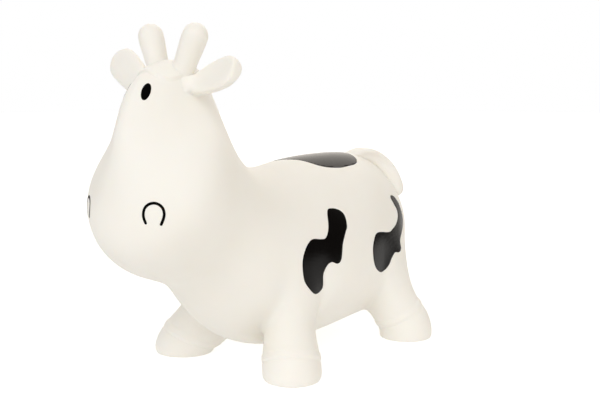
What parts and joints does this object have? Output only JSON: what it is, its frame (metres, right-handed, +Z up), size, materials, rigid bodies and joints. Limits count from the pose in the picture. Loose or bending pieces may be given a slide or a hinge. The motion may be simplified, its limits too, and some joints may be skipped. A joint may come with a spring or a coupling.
{
  "type": "inflatable ride-on animal",
  "caption": "Inflatable hopper cow that a small child sits astride and bounces on: a hollow soft skin with splayed stub legs, horns to hold, ears, a tail, painted patches and a belly air valve",
  "frame": {"origin": "On the floor, under the middle of the whole length from muzzle to tail, in the plane of symmetry", "axes": "+X to the cow's left side, +Y from muzzle to rump, +Z up"},
  "size_m": [0.2806, 0.5916, 0.462],
  "materials": {
    "soft_vinyl": "soft matte off-white plasticised vinyl",
    "black_paint": "satin black sprayed vinyl paint",
    "valve_vinyl": "matte translucent white vinyl"
  },
  "bodies": {
    "cow": {"inflated_skin": "soft_vinyl", "horn_left": "soft_vinyl", "horn_right": "soft_vinyl", "ear_left": "soft_vinyl", "ear_right": "soft_vinyl", "tail": "soft_vinyl", "valve_seat": "valve_vinyl", "patch_back": "black_paint", "patch_flank_left": "black_paint", "patch_flank_right": "black_paint", "patch_rump_left": "black_paint", "patch_rump_right": "black_paint", "eye_left": "black_paint", "eye_right": "black_paint", "nostril_left": "black_paint", "nostril_right": "black_paint"},
    "plug": {"valve_plug": "valve_vinyl"}
  },
  "joints": [
    {"name": "plug_pull", "type": "slide", "parent": "cow", "child": "plug", "axis": [0, 0, -1], "range_m": [0, 0.0105]}
  ]
}
